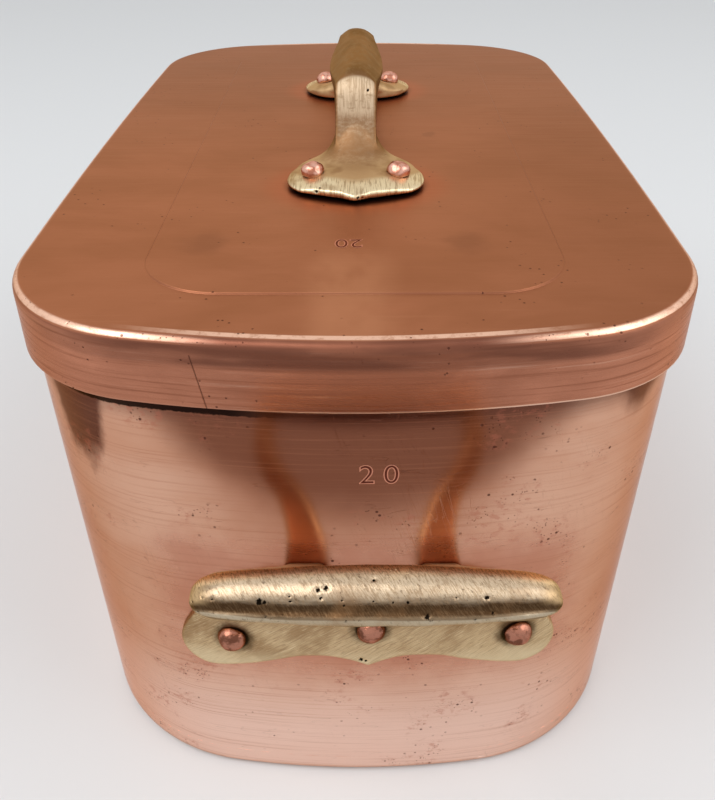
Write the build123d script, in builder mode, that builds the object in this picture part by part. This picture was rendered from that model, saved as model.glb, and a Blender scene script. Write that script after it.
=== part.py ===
from build123d import *
import math
import os

os.makedirs("parts", exist_ok=True)

# Driving sizes of the pan, in millimetres

pan_length = 340.0
pan_width = 198.0
pan_height = 177.0
end_bow = 16.5
side_bow = 2.5
rim_corner = 47.0
foot_corner = 64.0
wall_sheet = 2.0
base_sheet = 2.6
base_edge_radius = 4.0
base_inner_radius = 2.6
base_turn_up = 9.0
tin = 0.3

# Driving sizes of the lid

lid_clearance = 0.7
lid_fold_slack = 0.1
lid_sheet = 1.5
lid_skirt_drop = 20.4
lid_turn_down = 4.5
lid_edge_radius = 3.0
panel_side_margin = 40.0
panel_end_margin = 27.5
panel_corner = 24.0
panel_rise = 0.4
panel_slope = 55.0

# Driving sizes of the end handles

grip_shift = 5.3
plate_shift = 3.9
plate_low = 61.5
plate_sheet = 4.0
plate_half = 58.9
plate_rise = 36.5
plate_edge_radius = 1.4
loop_root_z = 97.0
loop_lift = 40.5
loop_reach = 55.3
grip_half = 44.0
grip_depth = 14.4
grip_crown = 7.6
grip_belly = 7.7
grip_bevel = 2.0
arm_thickness = 9.2
arm_root_outer = 27.0
arm_root_inner = 14.0
arm_width = 8.6
arm_straight = 10.0
arm_round = 2.6

# Driving sizes of the lid handle

lid_handle_shift = 2.0
strap_height = 33.0
strap_thickness = 8.8
strap_half_width = 7.2
strap_crown_radius = 11.5
strap_swell = 3.1
strap_kink = 41.5
leg_foot = 50.0
foot_centre = 63.5
foot_half_width = 24.0
foot_tip = 82.0
foot_inner = 44.5
foot_sheet = 5.8
foot_dome = 85.0
foot_edge_radius = 1.0
foot_relief = 0.9
foot_relief_inset = 1.6

# Driving sizes of the rivets

shank_radius = 2.5
end_head_radius = 4.5
lid_head_radius = 4.1
head_rise = 3.6
head_edge = 0.6
tail_radius = 4.6
tail_rise = 1.4
tail_gap = 0.05
lid_rivet_half_gap = 14.8
lid_rivet_grip = 4.6
rivet_clear = 0.15

# Places that follow from the sizes above

half_length = pan_length / 2
half_width = pan_width / 2
lid_overhang = lid_clearance + tin + lid_sheet
lid_under = pan_height + tin
lid_top_z = lid_under + lid_sheet
skirt_bottom = lid_top_z - lid_skirt_drop
fold_radius = lid_clearance - lid_fold_slack
seat_z = lid_top_z + panel_rise
end_chord = half_width - side_bow
end_arc = (end_chord ** 2 + end_bow ** 2) / (2 * end_bow)
end_arc_y = end_arc - half_length
up = Vector(0, 0, 1)


# Plan outline of the pan: four bowed sides and four round corners, all tangent

def plan_outline(corner, grow, height):
    side_arc = ((half_length - end_bow) ** 2 + side_bow ** 2) / (2 * side_bow)
    side_at = Vector(half_width - side_arc, 0)
    cap_at = Vector(0, end_arc_y * -1)
    span = (cap_at - side_at).length
    along = ((side_arc - corner) ** 2 - (end_arc - corner) ** 2 + span ** 2) / (2 * span)
    aside = math.sqrt((side_arc - corner) ** 2 - along ** 2)
    step = (cap_at - side_at).normalized()
    corner_at = side_at + step * along + Vector(-step.Y, step.X) * aside
    side_end = side_at + (corner_at - side_at).normalized() * (side_arc + grow)
    cap_end = cap_at + (corner_at - cap_at).normalized() * (end_arc + grow)
    diagonal = (side_end - corner_at).normalized() + (cap_end - corner_at).normalized()
    corner_mid = corner_at + diagonal.normalized() * (corner + grow)
    with BuildSketch(Plane.XY.offset(height)) as outline:
        with BuildLine():
            for way in (1, -1):
                right_end = (way * side_end.X, way * side_end.Y)
                right_cap = (way * cap_end.X, way * cap_end.Y)
                left_cap = (-way * cap_end.X, way * cap_end.Y)
                left_end = (-way * side_end.X, way * side_end.Y)
                ThreePointArc(right_end, (way * corner_mid.X, way * corner_mid.Y), right_cap)
                ThreePointArc(right_cap, (0, way * (half_length + grow)), left_cap)
                ThreePointArc(left_cap, (-way * corner_mid.X, way * corner_mid.Y), left_end)
                ThreePointArc(left_end, (-way * (half_width + grow), 0), (left_end[0], -left_end[1]))
        make_face()
    return outline.sketch


# Solid filling the pan out to one of its skins: the corners ease from rim to foot

def pan_block(grow, low, edge):
    spread = foot_corner - rim_corner
    with BuildPart() as block:
        add(plan_outline(foot_corner - spread * low / pan_height, grow, low))
        add(plan_outline(rim_corner, grow, pan_height))
        loft(ruled=True)
        fillet(block.edges().group_by(Axis.Z)[0], radius=edge)
    return block.part


pan_outer = pan_block(0, 0, base_edge_radius)
pan_inner = pan_block(-wall_sheet, base_sheet, base_inner_radius)
pan_lined = pan_block(-wall_sheet - tin, base_sheet + tin, base_inner_radius - tin)

# End handle, grip: crowned bar that thins out to its ends, flat and bevelled below.
# Each station gives a share of the half length, a share of the height, and the depth lost
# on the outside and on the inside.

loop_angle = math.radians(loop_lift)
loop_dir = Vector(0, -math.cos(loop_angle), math.sin(loop_angle))
loop_up = Vector(0, math.sin(loop_angle), math.cos(loop_angle))
loop_origin = Vector(grip_shift, -half_length, loop_root_z)
grip_near = loop_reach - grip_depth / 2
grip_far = loop_reach + grip_depth / 2
grip_stations = [
    (0.00, 1.00, 0.0, 0.0),
    (0.38, 0.95, 0.3, 0.0),
    (0.70, 0.84, 0.9, 0.0),
    (0.89, 0.70, 1.8, 0.0),
    (0.965, 0.50, 3.4, 0.6),
    (1.00, 0.24, 5.4, 1.8),
]
left_stations = [(-share, *rest) for share, *rest in reversed(grip_stations[1:])]

with BuildPart() as grip_block:
    for share, height, outside, inside in left_stations + grip_stations:
        section_at = loop_origin + Vector(share * grip_half, 0, 0)
        near = grip_near + inside
        far = grip_far - outside
        crown = grip_crown * height
        belly = grip_belly * height
        bevel = grip_bevel * height
        with BuildSketch(Plane(origin=section_at, x_dir=loop_dir, z_dir=loop_dir.cross(loop_up))):
            with BuildLine():
                Spline(
                    (far, bevel - belly),
                    (far - 0.10 * grip_depth, 0.62 * crown),
                    ((near + far) / 2, crown),
                    (near + 0.06 * grip_depth, 0.42 * crown),
                    (near + 0.05 * grip_depth, -0.70 * belly),
                    tangents=[(0, 1), (0.1, -1)],
                )
                Polyline(
                    (near + 0.05 * grip_depth, -0.70 * belly),
                    (near + 0.16 * grip_depth, -belly),
                    (far - bevel, -belly),
                    (far, bevel - belly),
                )
            make_face()
    loft()

# End handle, arms: they leave the plate side by side, then splay to the ends of the grip.
# The outer and inner lines of an arm run along shares of the way from the straight to the grip.

arm_top = grip_half - 0.8
arm_rise = grip_near - arm_straight
hole_top = arm_top - arm_width + 1.8

with BuildPart() as loop_block:
    with BuildSketch(Plane(origin=loop_origin, x_dir=(1, 0, 0), z_dir=-loop_up)):
        with BuildLine():
            Spline(
                (arm_root_outer, -arm_straight / 2),
                (arm_root_outer, arm_straight),
                (arm_root_outer + 2.0, arm_straight + 0.18 * arm_rise),
                (arm_top - 11.0, arm_straight + 0.33 * arm_rise),
                (arm_top - 5.6, arm_straight + 0.47 * arm_rise),
                (arm_top - 1.6, arm_straight + 0.63 * arm_rise),
                (arm_top, arm_straight + 0.81 * arm_rise),
                (arm_top - 0.4, grip_near + 2),
                (arm_top - 3.8, grip_near + 0.45 * grip_depth),
                tangents=[(0, 1), (-1, 0.6)],
            )
            Line((arm_root_outer, -arm_straight / 2), (0, -arm_straight / 2))
            Line((arm_top - 3.8, grip_near + 0.45 * grip_depth), (0, grip_near + 0.45 * grip_depth))
            mirror(about=Plane.YZ)
        make_face()
        with BuildLine():
            Spline(
                (arm_root_inner, -arm_straight),
                (arm_root_inner + 0.4, arm_straight),
                (arm_root_inner + 3.4, arm_straight + 0.18 * arm_rise),
                (hole_top - 15.2, arm_straight + 0.35 * arm_rise),
                (hole_top - 10.4, arm_straight + 0.485 * arm_rise),
                (hole_top - 4.4, arm_straight + 0.63 * arm_rise),
                (hole_top - 0.6, arm_straight + 0.79 * arm_rise),
                (hole_top, grip_near - 3.6),
                (hole_top - 3.6, grip_near + 0.6),
                tangents=[(0, 1), (-1, 0)],
            )
            Line((arm_root_inner, -arm_straight), (0, -arm_straight))
            Line((hole_top - 3.6, grip_near + 0.6), (0, grip_near + 0.6))
            mirror(about=Plane.YZ)
        make_face(mode=Mode.SUBTRACT)
    extrude(amount=arm_thickness / 2, both=True)
    arm_edges = loop_block.edges().filter_by(GeomType.BSPLINE).filter_by(lambda edge: edge.length > arm_rise)
    fillet(arm_edges, radius=arm_round)

# End handle, plate: ogee outline with a small point in the middle, bent to the bow of the end

with BuildPart() as plate_block:
    with BuildSketch(Plane(origin=(plate_shift, 0, plate_low), x_dir=(1, 0, 0), z_dir=(0, -1, 0))):
        with BuildLine():
            arch = ThreePointArc((0, 0), (0.22 * plate_half, 4.2), (0.45 * plate_half, 2.3))
            lobe = TangentArc(arch @ 1, (0.80 * plate_half, -3.2), tangent=arch % 1)
            side = TangentArc(lobe @ 1, (0.99 * plate_half, 12.0), tangent=lobe % 1)
            TangentArc(side @ 1, (arm_root_outer + 4, plate_rise), tangent=side % 1)
            Line((arm_root_outer + 4, plate_rise), (0, plate_rise))
            mirror(about=Plane.YZ)
        make_face()
    extrude(amount=half_length + 3 * plate_sheet)
    with BuildSketch(Plane.XY.offset(plate_low - plate_rise)):
        with Locations((0, end_arc_y)):
            Circle(end_arc + plate_sheet)
    extrude(amount=3 * plate_rise, mode=Mode.INTERSECT)
    front_faces = plate_block.faces().filter_by(lambda face: face.center().Y < -half_length)
    fillet(front_faces.sort_by(SortBy.AREA)[-1].edges(), radius=plate_edge_radius)
    add(pan_outer, mode=Mode.SUBTRACT)

# Rivet spots on the plate: offset along the end, height above the point of the plate

plate_rivets = {
    "left": (-42.0, 11.2),
    "middle": (0.8, 17.4),
    "right": (46.4, 11.6),
}


# Where a rivet crosses the outer skin of the wall, and the way out of it

def wall_spot(spot):
    x = plate_shift + spot[0]
    turn = math.asin(x / end_arc)
    out = Vector(math.sin(turn), -math.cos(turn), 0)
    foot = Vector(x, end_arc_y - end_arc * math.cos(turn), plate_low + spot[1])
    return foot, out


# A rivet turned about its shank: hammered tail inside, domed head outside

def rivet_blank(foot, out, over, under, head):
    side = Vector(0, 0, 1) if abs(out.Z) < 0.5 else Vector(1, 0, 0)
    head_seat = over - head_edge
    tail_seat = -under - tail_gap
    with BuildPart() as blank:
        with BuildSketch(Plane(origin=foot, x_dir=side, z_dir=side.cross(out))):
            with BuildLine():
                Polyline(
                    (head, over + head_edge),
                    (head, head_seat),
                    (shank_radius, head_seat),
                    (shank_radius, tail_seat),
                    (tail_radius, tail_seat),
                    (tail_radius, tail_seat - tail_rise),
                    (0, tail_seat - tail_rise),
                    (0, over + head_rise),
                )
                ThreePointArc(
                    (0, over + head_rise),
                    (0.74 * head, over + head_edge + 0.68 * (head_rise - head_edge)),
                    (head, over + head_edge),
                )
            make_face()
        revolve(axis=Axis(foot, out))
    return blank.part


# A straight pin along a shank, for the holes

def shank_pin(foot, out, radius, low, high):
    with BuildPart() as pin:
        with BuildSketch(Plane(origin=foot + out * low, z_dir=out)):
            Circle(radius)
        extrude(amount=high - low)
    return pin.part


with BuildPart() as front_handle:
    add(plate_block.part)
    add(loop_block.part)
    add(grip_block.part)
    add(pan_outer, mode=Mode.SUBTRACT)
    for spot in plate_rivets.values():
        foot, out = wall_spot(spot)
        add(shank_pin(foot, out, shank_radius, -wall_sheet, 3 * plate_sheet), mode=Mode.SUBTRACT)
front_handle.part.label = "front_handle"
export_step(front_handle.part, "parts/front_handle.step")

with BuildPart() as rear_handle:
    add(front_handle.part.rotate(Axis.Z, 180))
rear_handle.part.label = "rear_handle"
export_step(rear_handle.part, "parts/rear_handle.step")

# Pan body: bent wall strip and turned-up base, cut from one shell, and the tin inside them

with BuildPart() as pan_shell:
    add(pan_outer)
    add(pan_inner, mode=Mode.SUBTRACT)
    for spot in plate_rivets.values():
        foot, out = wall_spot(spot)
        pin = shank_pin(foot, out, shank_radius, -3 * wall_sheet, 3 * wall_sheet)
        add(pin, mode=Mode.SUBTRACT)
        add(pin.rotate(Axis.Z, 180), mode=Mode.SUBTRACT)

with BuildPart() as pan_wall:
    add(pan_shell.part)
    split(bisect_by=Plane.XY.offset(base_turn_up), keep=Keep.TOP)
pan_wall.part.label = "pan_wall"
export_step(pan_wall.part, "parts/pan_wall.step")

with BuildPart() as pan_base:
    add(pan_shell.part)
    split(bisect_by=Plane.XY.offset(base_turn_up), keep=Keep.BOTTOM)
pan_base.part.label = "pan_base"
export_step(pan_base.part, "parts/pan_base.step")

with BuildPart() as pan_tin_lining:
    add(pan_inner)
    add(pan_lined, mode=Mode.SUBTRACT)
    for spot in plate_rivets.values():
        foot, out = wall_spot(spot)
        pin = shank_pin(foot, out, tail_radius + rivet_clear, -3 * wall_sheet, 0)
        add(pin, mode=Mode.SUBTRACT)
        add(pin.rotate(Axis.Z, 180), mode=Mode.SUBTRACT)
pan_tin_lining.part.label = "pan_tin_lining"
export_step(pan_tin_lining.part, "parts/pan_tin_lining.step")

# Lid: pressed top with a turned-down edge, brazed skirt strip, tin inside

lid_rivets = {
    "front_left": (-lid_rivet_half_gap, lid_handle_shift - foot_centre),
    "front_right": (lid_rivet_half_gap, lid_handle_shift - foot_centre),
    "rear_left": (-lid_rivet_half_gap, lid_handle_shift + foot_centre),
    "rear_right": (lid_rivet_half_gap, lid_handle_shift + foot_centre),
}


def lid_block(grow, high, edge):
    with BuildPart() as block:
        add(plan_outline(rim_corner, grow, skirt_bottom))
        extrude(amount=high - skirt_bottom)
        fillet(block.edges().group_by(Axis.Z)[-1], radius=edge)
    return block.part


lid_outer = lid_block(lid_overhang, lid_top_z, lid_edge_radius)
lid_inner = lid_block(lid_clearance + tin, lid_under, fold_radius + tin)
lid_lined = lid_block(lid_clearance, pan_height, fold_radius)

with BuildPart() as lid_shell:
    add(lid_outer)
    add(lid_inner, mode=Mode.SUBTRACT)
    with BuildSketch(Plane.XY.offset(lid_top_z)):
        panel_width = pan_width + 2 * lid_overhang - 2 * panel_side_margin
        panel_length = pan_length + 2 * lid_overhang - 2 * panel_end_margin
        RectangleRounded(panel_width, panel_length, panel_corner)
    extrude(amount=panel_rise, taper=panel_slope)
    for x, y in lid_rivets.values():
        foot = Vector(x, y, seat_z)
        add(shank_pin(foot, up, shank_radius, -5 * lid_sheet, 5 * lid_sheet), mode=Mode.SUBTRACT)

with BuildPart() as lid_top:
    add(lid_shell.part)
    split(bisect_by=Plane.XY.offset(lid_top_z - lid_turn_down), keep=Keep.TOP)
lid_top.part.label = "lid_top"
export_step(lid_top.part, "parts/lid_top.step")

with BuildPart() as lid_skirt:
    add(lid_shell.part)
    split(bisect_by=Plane.XY.offset(lid_top_z - lid_turn_down), keep=Keep.BOTTOM)
lid_skirt.part.label = "lid_skirt"
export_step(lid_skirt.part, "parts/lid_skirt.step")

with BuildPart() as lid_tin_lining:
    add(lid_inner)
    add(lid_lined, mode=Mode.SUBTRACT)
    for x, y in lid_rivets.values():
        pin = shank_pin(Vector(x, y, lid_under), up, tail_radius + rivet_clear, -4 * tail_rise, tin)
        add(pin, mode=Mode.SUBTRACT)
lid_tin_lining.part.label = "lid_tin_lining"
export_step(lid_tin_lining.part, "parts/lid_tin_lining.step")

# Lid handle, strap: side profile of grip and legs, cut by its plan, with a crowned top

strap_under = strap_height - strap_thickness
leg_end = leg_foot + 8.5

with BuildPart() as strap_block:
    with BuildSketch(Plane.YZ.offset(-foot_half_width)):
        with BuildLine():
            Spline(
                (0, strap_height),
                (0.66 * strap_kink, strap_height - 0.3),
                (strap_kink - 3, strap_height - 1.3),
                (strap_kink + 1.4, strap_height - 5.5),
                (strap_kink + 4.6, 0.58 * strap_height),
                (leg_foot - 0.6, 0.34 * strap_height),
                (leg_foot + 2.4, foot_sheet + 2.2),
                (leg_end, foot_sheet - foot_relief),
                tangents=[(1, 0), (1, -0.22)],
            )
            Polyline(
                (leg_end, foot_sheet - foot_relief),
                (leg_end, 2 * foot_relief),
                (foot_inner + 1.2, 2 * foot_relief),
            )
            Spline(
                (foot_inner + 1.2, 2 * foot_relief),
                (foot_inner - 2.4, 0.42 * strap_under),
                (strap_kink - 6.0, 0.74 * strap_under),
                (strap_kink - 9.5, strap_under - 2.0),
                (strap_kink - 15, strap_under - 0.4),
                (0, strap_under),
                tangents=[(-0.2, 1), (-1, 0)],
            )
            mirror(about=Plane.YZ)
        make_face()
    extrude(amount=2 * foot_half_width)
    with BuildSketch():
        with BuildLine():
            Spline(
                (strap_half_width + strap_swell, 0),
                (strap_half_width + 0.78 * strap_swell, 0.38 * strap_kink),
                (strap_half_width + 0.16 * strap_swell, 0.84 * strap_kink),
                (strap_half_width, strap_kink + 4),
                (strap_half_width + 0.4, leg_foot),
                (strap_half_width + 2.6, leg_foot + 5.5),
                (strap_half_width + 5.2, leg_end + 1),
                tangents=[(0, 1), (0.9, 1)],
            )
            Line((strap_half_width + 5.2, leg_end + 1), (0, leg_end + 1))
            mirror(about=Plane.YZ)
            mirror(about=Plane.XZ)
        make_face()
    extrude(amount=2 * strap_height, mode=Mode.INTERSECT)
    with BuildSketch(Plane.XZ.offset(-leg_end)):
        with Locations((0, strap_height - strap_crown_radius)):
            Circle(strap_crown_radius)
        with Locations((0, strap_height - strap_crown_radius)):
            Rectangle(2 * strap_crown_radius, 2 * strap_height, align=(Align.CENTER, Align.MAX))
    extrude(amount=2 * leg_end, mode=Mode.INTERSECT)

# Lid handle, flare: bell between leg and foot, as rise, centre, half width and half depth

flare_stations = [
    (17.0, 43.2, 6.4, 3.4),
    (12.0, 45.4, 7.5, 4.9),
    (8.6, 47.6, 9.4, 6.4),
    (6.2, 50.0, 12.6, 7.6),
    (4.6, 52.2, 17.0, 8.8),
    (3.0, 54.0, 21.0, 9.6),
]

with BuildPart() as flare_block:
    for rise, centre, half_x, half_y in flare_stations:
        with BuildSketch(Plane.XY.offset(rise)):
            with Locations((0, centre)):
                Ellipse(half_x, half_y)
    loft()

# Lid handle, foot: domed leaf with a point, on a smaller pad that lifts its edge off the lid

broad = foot_half_width
foot_outline = [
    (0, foot_tip),
    (0.10 * broad, foot_tip - 1.0),
    (0.20 * broad, foot_tip - 2.6),
    (0.48 * broad, foot_tip - 4.9),
    (0.77 * broad, foot_tip - 7.6),
    (broad, foot_centre + 0.5),
    (0.88 * broad, foot_centre - 10),
    (0.66 * broad, foot_inner + 3),
    (0.38 * broad, foot_inner + 0.9),
    (0.20 * broad, foot_inner + 0.3),
    (0, foot_inner),
]

with BuildPart() as foot_block:
    with BuildSketch(Plane.XY.offset(foot_relief)) as foot_shape:
        with BuildLine():
            for start, middle, end in zip(foot_outline[0::2], foot_outline[1::2], foot_outline[2::2]):
                ThreePointArc(start, middle, end)
            mirror(about=Plane.YZ)
        make_face()
    extrude(amount=foot_sheet - foot_relief)
    with Locations((0, foot_centre - 4, foot_sheet - foot_dome)):
        Sphere(foot_dome, mode=Mode.INTERSECT)
    fillet(foot_block.faces().sort_by(Axis.Z)[-1].edges(), radius=foot_edge_radius)
    with BuildSketch():
        add(foot_shape.sketch.moved(Location((0, 0, -foot_relief))))
        offset(amount=-foot_relief_inset, kind=Kind.ARC, mode=Mode.REPLACE)
    extrude(amount=2 * foot_relief)

with BuildPart() as lid_handle:
    add(strap_block.part)
    add(flare_block.part)
    add(flare_block.part.mirror(Plane.XZ))
    add(foot_block.part)
    add(foot_block.part.mirror(Plane.XZ))
    for x, y in lid_rivets.values():
        foot = Vector(x, y - lid_handle_shift, 0)
        add(shank_pin(foot, up, shank_radius, -1, strap_height), mode=Mode.SUBTRACT)
lid_handle.part = lid_handle.part.moved(Location((0, lid_handle_shift, seat_z)))
lid_handle.part.label = "lid_handle"
export_step(lid_handle.part, "parts/lid_handle.step")

# Rivets: the blanks lose what would sink into the pieces that they hold

for name, spot in plate_rivets.items():
    foot, out = wall_spot(spot)
    with BuildPart() as front_rivet:
        add(rivet_blank(foot, out, plate_sheet, wall_sheet, end_head_radius))
        add(front_handle.part, mode=Mode.SUBTRACT)
        add(pan_wall.part, mode=Mode.SUBTRACT)
    front = Part(front_rivet.solids().sort_by(SortBy.VOLUME)[-1].wrapped)
    front.label = "front_rivet_" + name
    export_step(front, "parts/front_rivet_" + name + ".step")
    rear = front.rotate(Axis.Z, 180)
    rear.label = "rear_rivet_" + name
    export_step(rear, "parts/rear_rivet_" + name + ".step")

for name, spot in lid_rivets.items():
    foot = Vector(spot[0], spot[1], seat_z)
    with BuildPart() as lid_rivet:
        add(rivet_blank(foot, up, lid_rivet_grip, lid_sheet + panel_rise, lid_head_radius))
        add(lid_handle.part, mode=Mode.SUBTRACT)
        add(lid_top.part, mode=Mode.SUBTRACT)
    piece = Part(lid_rivet.solids().sort_by(SortBy.VOLUME)[-1].wrapped)
    piece.label = "lid_rivet_" + name
    export_step(piece, "parts/lid_rivet_" + name + ".step")
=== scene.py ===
import math
import random

import bpy
import numpy as np
from mathutils import Matrix, Vector, noise


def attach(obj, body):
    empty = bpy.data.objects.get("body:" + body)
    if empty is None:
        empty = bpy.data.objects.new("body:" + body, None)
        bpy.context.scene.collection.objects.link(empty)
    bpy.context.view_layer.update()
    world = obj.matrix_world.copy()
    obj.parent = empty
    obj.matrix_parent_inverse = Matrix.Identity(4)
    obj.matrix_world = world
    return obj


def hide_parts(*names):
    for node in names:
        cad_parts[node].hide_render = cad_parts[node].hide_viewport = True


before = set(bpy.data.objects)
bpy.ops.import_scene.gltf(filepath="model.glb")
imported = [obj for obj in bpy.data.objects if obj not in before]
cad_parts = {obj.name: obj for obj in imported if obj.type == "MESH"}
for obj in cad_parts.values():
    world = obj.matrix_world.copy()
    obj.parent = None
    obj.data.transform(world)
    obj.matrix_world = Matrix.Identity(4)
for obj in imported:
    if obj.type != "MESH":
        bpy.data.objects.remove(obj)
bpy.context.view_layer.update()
mm = 0.001
print("frame loaded:", len(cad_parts), "nodes")


# colours are written as they look on screen, 0 to 255
def tint(red, green, blue):
    def toLinear(value):
        value /= 255
        return value / 12.92 if value < 0.04045 else ((value + 0.055) / 1.055) ** 2.4
    return (toLinear(red), toLinear(green), toLinear(blue), 1)


# a number that varies over a surface, so that patina can be written as formulas
class Field:
    def __init__(self, surface, socket):
        self.surface = surface
        self.socket = socket

    def apply(self, operation, other=0.0):
        value = other.socket if isinstance(other, Field) else other
        node = self.surface.node("ShaderNodeMath", {0: self.socket, 1: value}, operation=operation)
        return Field(self.surface, node.outputs[0])

    def __add__(self, other):
        return self.apply("ADD", other)

    def __sub__(self, other):
        return self.apply("SUBTRACT", other)

    def __mul__(self, other):
        return self.apply("MULTIPLY", other)

    def __truediv__(self, other):
        return self.apply("DIVIDE", other)

    def size(self):
        return self.apply("ABSOLUTE")

    def sign(self):
        return self.apply("SIGN")

    def least(self, other):
        return self.apply("MINIMUM", other)

    def most(self, other):
        return self.apply("MAXIMUM", other)

    def root(self):
        return self.apply("SQRT")

    def ramp(self, low, high, start=0.0, end=1.0):
        node = self.surface.node("ShaderNodeMapRange", {
            "Value": self.socket, "From Min": low, "From Max": high, "To Min": start, "To Max": end,
        }, interpolation_type="SMOOTHSTEP")
        return Field(self.surface, node.outputs[0])

    # 1 inside a band of values, falling to 0 over the given softness
    def band(self, low, high, soft):
        return self.ramp(low - soft, low) * self.ramp(high, high + soft, 1, 0)


def distance(first, second):
    return (first * first + second * second).root()


# a metal skin whose colours are laid on coat by coat, at places in millimetres on the object
class Surface:
    def __init__(self, name, colour):
        self.material = bpy.data.materials.new(name)
        self.material.use_nodes = True
        self.tree = self.material.node_tree
        self.shader = self.tree.nodes["Principled BSDF"]
        coords = self.node("ShaderNodeTexCoord")
        scaled = self.node("ShaderNodeVectorMath", {0: coords.outputs["Object"], 1: (1000, 1000, 1000)},
                           operation="MULTIPLY")
        self.place = scaled.outputs[0]
        self.x, self.y, self.z = self.parts(self.place)
        self.facingX, self.facingY, self.facingZ = self.parts(coords.outputs["Normal"])
        self.colour = colour
        self.normal = None
        self.shader.inputs["Metallic"].default_value = 1

    def node(self, kind, inputs=None, **settings):
        node = self.tree.nodes.new(kind)
        for key, value in settings.items():
            setattr(node, key, value)
        for key, value in (inputs or {}).items():
            if isinstance(value, bpy.types.NodeSocket):
                self.tree.links.new(value, node.inputs[key])
            else:
                node.inputs[key].default_value = value
        return node

    def parts(self, vector):
        split = self.node("ShaderNodeSeparateXYZ", {"Vector": vector})
        return [Field(self, output) for output in split.outputs]

    def joined(self, first, second, third):
        return self.node("ShaderNodeCombineXYZ", {
            0: first.socket, 1: second.socket, 2: third.socket,
        }).outputs[0]

    # noise with that many cells per millimetre along each direction
    def noise(self, cells, detail=3, rough=0.5, warp=0.0, at=None):
        scaled = self.node("ShaderNodeVectorMath", {0: at or self.place, 1: cells}, operation="MULTIPLY")
        cloud = self.node("ShaderNodeTexNoise", {
            "Vector": scaled.outputs[0], "Scale": 1.0,
            "Detail": detail, "Roughness": rough, "Distortion": warp,
        })
        return Field(self, cloud.outputs["Fac"])

    # scattered dots; cells per millimetre, and the dots' share of a cell
    def specks(self, cells, share):
        scaled = self.node("ShaderNodeVectorMath", {0: self.place, 1: (cells, cells, cells)},
                           operation="MULTIPLY")
        spots = self.node("ShaderNodeTexVoronoi", {"Vector": scaled.outputs[0], "Scale": 1.0}, feature="F1")
        return Field(self, spots.outputs["Distance"]).ramp(share * 0.6, share, 1, 0)

    # thin wandering lines: the places where a stretched noise crosses its middle value
    def hairlines(self, cells, width, at=None):
        return (self.noise(cells, 2, 0.5, 0.0, at) - 0.5).size().ramp(0, width, 1, 0)

    def attribute(self, name):
        return Field(self, self.node("ShaderNodeAttribute", attribute_name=name).outputs["Fac"])

    # one coat of colour; its share runs from 0, none, to 1, all
    def paint(self, colour, share):
        share = share.socket if isinstance(share, Field) else share
        mix = self.node("ShaderNodeMix", {0: share}, data_type="RGBA")
        for index, value in ((6, self.colour), (7, colour)):
            if isinstance(value, bpy.types.NodeSocket):
                self.tree.links.new(value, mix.inputs[index])
            else:
                mix.inputs[index].default_value = value
        self.colour = mix.outputs[2]

    # relief too fine for the mesh: depth in millimetres
    def carve(self, height, depth, strength):
        inputs = {"Height": height.socket, "Strength": strength, "Distance": depth * mm}
        if self.normal is not None:
            inputs["Normal"] = self.normal
        self.normal = self.node("ShaderNodeBump", inputs).outputs[0]

    def put(self, name, value):
        value = value.socket if isinstance(value, Field) else value
        if isinstance(value, bpy.types.NodeSocket):
            self.tree.links.new(value, self.shader.inputs[name])
        else:
            self.shader.inputs[name].default_value = value

    def finish(self, roughness, edgeTint):
        self.put("Base Color", self.colour)
        self.put("Roughness", roughness)
        self.put("Specular Tint", edgeTint)
        if self.normal is not None:
            self.put("Normal", self.normal)
        return self.material


# places on the frame that the patina follows, in millimetres
places = {
    "endOfWall": 170.0,
    "loopRoot": 97.0,
    "loopLift": math.radians(40.5),
    "gripShift": 5.3,
    "handleRivets": ((-38.1, 72.7), (4.7, 78.9), (50.3, 73.1)),
    "lidHandleShift": 2.0,
    "lidFace": 179.2,
    "footTip": 82.0,
    "footCentre": 63.5,
    "endArcBehind": 120.4,
    "lidArc": 292.9,
    "wallInset": 2.5,
}


# copper of the pan's body: pink and polished, with level brushing, pits, scratches and tarnish, and with
# painted reflection and painted shade
panCopper = {
    "bright": tint(217, 169, 143),
    "warm": tint(197, 138, 107),
    "low": tint(244, 214, 200),
    # painted reflection of dark surroundings below the lid; the haze serves that reflection and the brushing
    "darkReflection": tint(116, 68, 50),
    "haze": tint(168, 110, 84),
    "corner": tint(88, 50, 42),
    "redRing": tint(172, 100, 80),
    "pit": tint(76, 42, 34),
    # black for painted shade and painted shadow
    "dirt": tint(24, 14, 12),
    "edge": tint(232, 190, 165),
    "edgeTint": tint(240, 205, 185),
    "darkReflectionLow": 124,
    "darkReflectionShare": 0.88,
    "wedges": {"left": (-78, 160, 9, 32), "right": (80, 161, 8, 15)},
    "haloReach": 17,
    "haloShare": 0.48,
    "pitShare": 0.85,
    "scratchShare": 0.30,
    "brushing": 0.16,
    "roughness": 0.16,
}


# how far a point lies from a dark wedge: 1 on its border; across, height and half sizes in millimetres
def fromWedge(across, height, wedge):
    return distance((across - wedge[0]) / wedge[2], (height - wedge[1]) / wedge[3])


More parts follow.
